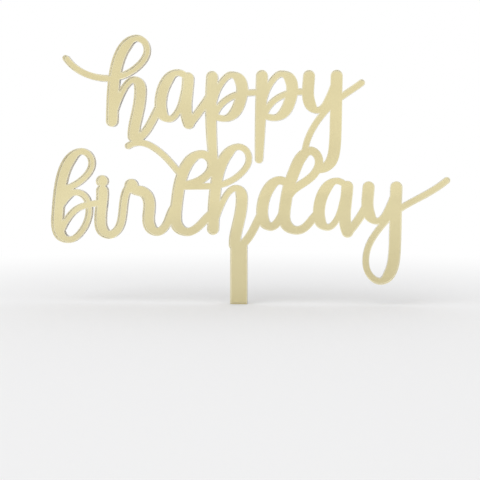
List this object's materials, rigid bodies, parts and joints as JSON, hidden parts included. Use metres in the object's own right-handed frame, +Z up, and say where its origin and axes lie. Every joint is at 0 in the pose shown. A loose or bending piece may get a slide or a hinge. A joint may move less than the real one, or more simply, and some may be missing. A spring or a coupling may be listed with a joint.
{
  "type": "cake topper",
  "caption": "Flat gold mirror-acrylic cake topper: a two-line birthday greeting in joined pen script on one pointed stake, pushed upright into a cake.",
  "frame": {"origin": "on the stake's centre line, mid thickness, at the level of the surface the topper is planted in", "axes": "+X along the words to the reader's right, +Z up, front mirror face looks towards -Y, painted back looks towards +Y"},
  "size_m": [0.1504, 0.003, 0.1513],
  "materials": {
    "gold_acrylic": "clear gold-tinted cast acrylic, polished face, laser-cut edge",
    "mirror_film": "vacuum-metallised mirror layer",
    "back_paint": "matt protective back paint"
  },
  "bodies": {
    "root": {"acrylic_sheet": "gold_acrylic", "mirror_film": "mirror_film", "back_coat": "back_paint"}
  },
  "joints": []
}
